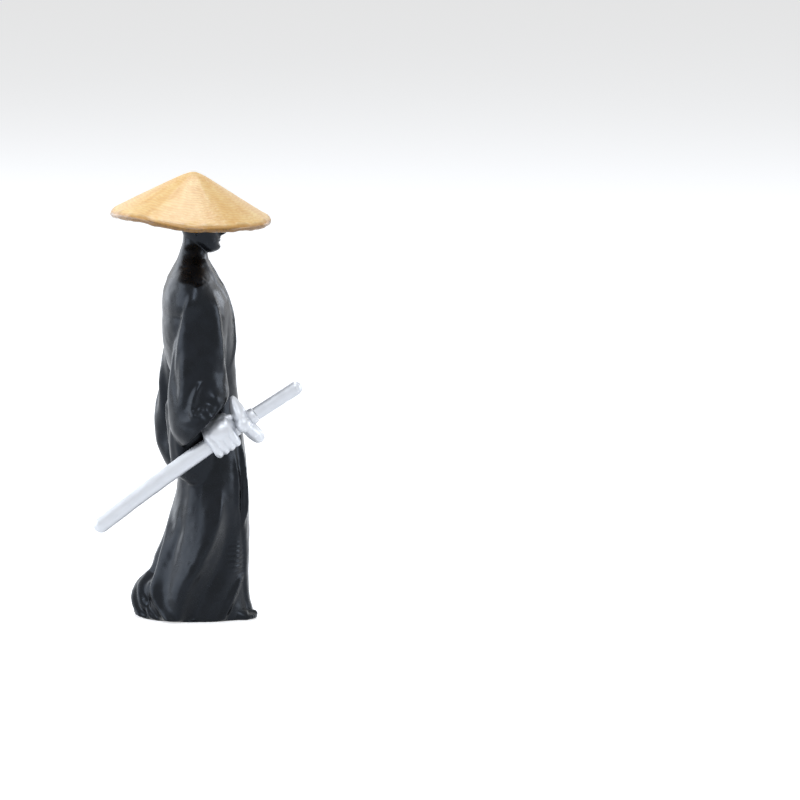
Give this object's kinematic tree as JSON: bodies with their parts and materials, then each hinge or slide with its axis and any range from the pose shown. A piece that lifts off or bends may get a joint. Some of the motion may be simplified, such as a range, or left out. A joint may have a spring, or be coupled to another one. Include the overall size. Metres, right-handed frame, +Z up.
{
  "type": "miniature swordsman figure",
  "caption": "Small standing figure of a robed swordsman with a wide conical hat and a sheathed sword held at the right hip, for a shelf or a desk.",
  "frame": {"origin": "on the flat underside, below the middle of the neck", "axes": "+Z up, -Y the way the figure faces, +X to the figure's left"},
  "size_m": [0.0266, 0.0347, 0.075],
  "materials": {
    "black_gloss": "gloss black moulded resin",
    "silver_paint": "satin silver paint on moulded resin",
    "straw_paint": "brushed straw paint on moulded resin, darker at the brim"
  },
  "bodies": {
    "figure": {"robe": "black_gloss", "left_sleeve": "black_gloss", "right_sleeve": "black_gloss", "head": "black_gloss", "right_hand": "silver_paint", "scabbard": "silver_paint", "sword_guard": "silver_paint", "handle_collar": "silver_paint", "sword_handle": "silver_paint", "left_foot": "black_gloss", "right_foot": "black_gloss", "belt_knot": "black_gloss"},
    "pin": {"hat_pin": "silver_paint"},
    "hat": {"hat": "straw_paint"}
  },
  "joints": [
    {"name": "hat_turn", "type": "hinge", "parent": "figure", "child": "pin", "pos_m": [0.0001, 0.00036, 0.07126], "axis": [-0.0262, -0.0697, 0.9972], "continuous": true},
    {"name": "hat_lift", "type": "slide", "parent": "pin", "child": "hat", "axis": [-0.0262, -0.0697, 0.9972], "range_m": [0, 0.02]}
  ]
}
